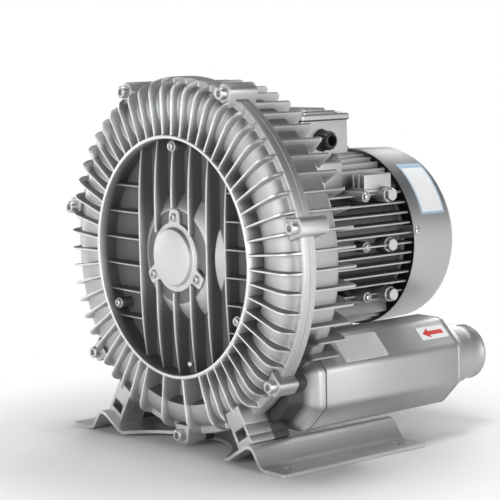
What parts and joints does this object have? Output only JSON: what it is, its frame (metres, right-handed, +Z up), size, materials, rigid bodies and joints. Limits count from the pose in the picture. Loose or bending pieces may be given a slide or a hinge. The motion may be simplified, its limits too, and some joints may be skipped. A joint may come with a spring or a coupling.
{
  "type": "side channel blower",
  "caption": "Side channel blower with a ribbed round housing, direct electric motor, twin silencers and a pressed foot plate.",
  "frame": {"origin": "on the floor, at the centre of the four foot slots", "axes": "+Z up, +Y along the shaft from the front cover towards the motor, +X to the blower's right seen from the cover"},
  "size_m": [0.3934, 0.344, 0.3959],
  "materials": {
    "cast_aluminium": "satin, as cast and shot blasted",
    "machined_aluminium": "fine turned",
    "silencer_shell": "smooth satin",
    "sheet_steel": "satin grey",
    "cowl_sheet": "smooth satin silver",
    "plated_steel": "bright zinc plated",
    "shaft_steel": "ground",
    "core_steel": "stacked sheet",
    "winding": "varnished wire",
    "black_rubber": "dull",
    "gasket_fibre": "dull",
    "foam": "open foam",
    "black_plastic": "satin black",
    "fan_plastic": "satin black",
    "cream_plastic": "satin",
    "plate_metal": "bare brushed plate"
  },
  "bodies": {
    "housing": {"front_cover": "cast_aluminium", "bearing_cap": "cast_aluminium", "bearing_cap_screws": "plated_steel", "flange_screws": "plated_steel", "inner_boss_screws": "plated_steel", "drain_pin": "plated_steel", "front_bearing_outer": "shaft_steel", "rear_housing": "cast_aluminium", "shaft_seal": "black_rubber", "silencer_gasket_left": "gasket_fibre", "silencer_body_left": "silencer_shell", "silencer_liner_left": "sheet_steel", "silencer_foam_left": "foam", "silencer_cap_left": "silencer_shell", "silencer_cap_screws_left": "plated_steel", "silencer_flange_screws_left": "plated_steel", "silencer_gasket_right": "gasket_fibre", "silencer_body_right": "silencer_shell", "silencer_liner_right": "sheet_steel", "silencer_foam_right": "foam", "silencer_cap_right": "silencer_shell", "silencer_cap_screws_right": "plated_steel", "silencer_flange_screws_right": "plated_steel", "base_plate": "sheet_steel", "foot_bolts_left": "plated_steel", "foot_nuts_left": "plated_steel", "foot_bolts_right": "plated_steel", "foot_nuts_right": "plated_steel", "motor_frame": "cast_aluminium", "motor_mount_screws": "plated_steel", "frame_side_bolts": "plated_steel", "frame_side_plugs": "plated_steel", "stator_core": "core_steel", "stator_windings": "winding", "rear_bearing_outer": "shaft_steel", "end_shield": "cast_aluminium", "end_shield_screws": "plated_steel", "fan_cowl": "cowl_sheet", "cowl_screws": "plated_steel", "terminal_box": "cast_aluminium", "terminal_box_gasket": "black_rubber", "terminal_box_lid": "cast_aluminium", "terminal_lid_screws": "plated_steel", "terminal_block": "cream_plastic", "cable_gland": "black_plastic", "cable_gland_nut": "black_plastic", "nameplate": "plate_metal"},
    "rotor": {"shaft": "shaft_steel", "impeller": "machined_aluminium", "impeller_key": "shaft_steel", "impeller_retaining_ring": "shaft_steel", "front_bearing_inner": "shaft_steel", "front_bearing_balls": "shaft_steel", "motor_rotor": "core_steel", "rear_bearing_inner": "shaft_steel", "rear_bearing_balls": "shaft_steel", "cooling_fan": "fan_plastic", "fan_retaining_ring": "shaft_steel"}
  },
  "joints": [
    {"name": "shaft_spin", "type": "hinge", "parent": "housing", "child": "rotor", "pos_m": [0, 0, 0.206], "axis": [0, 1, 0], "continuous": true}
  ]
}
